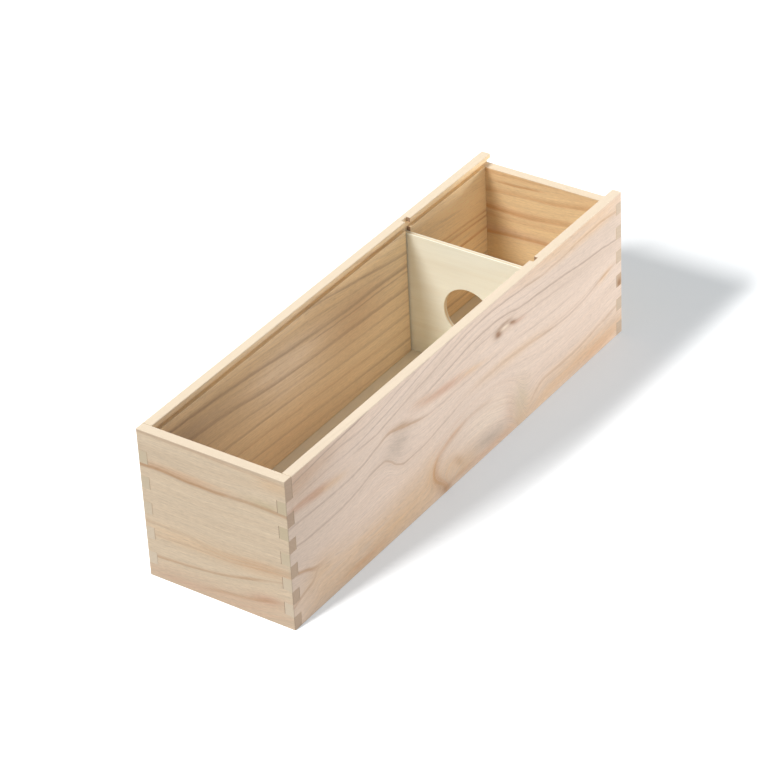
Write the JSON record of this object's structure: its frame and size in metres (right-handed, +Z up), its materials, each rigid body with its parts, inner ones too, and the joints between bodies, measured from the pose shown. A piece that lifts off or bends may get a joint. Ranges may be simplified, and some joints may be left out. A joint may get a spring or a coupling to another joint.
{
  "type": "wooden wine box",
  "caption": "Long finger-jointed timber box for a bottle of wine, open on top, with grooves for a sliding lid and a lift-out divider with a hole for the bottle's neck.",
  "frame": {"origin": "centre of the outline at the foot of the walls, on the surface that the box stands on", "axes": "+Y along the length, from the closed near end to the end where a lid slides in; +X to the right seen from the near end; +Z up"},
  "size_m": [0.1, 0.35, 0.1],
  "materials": {
    "side_timber": "bare sanded timber, matt",
    "end_timber": "bare sanded timber, matt",
    "ply": "bare pale ply, matt"
  },
  "bodies": {
    "box": {"near_end_wall": "end_timber", "far_end_wall": "end_timber", "left_side_wall": "side_timber", "right_side_wall": "side_timber", "bottom_panel": "ply"},
    "divider": {"divider": "ply"}
  },
  "joints": [
    {"name": "divider_lift", "type": "slide", "parent": "box", "child": "divider", "axis": [0, 0, 1], "range_m": [0, 0.095]}
  ]
}
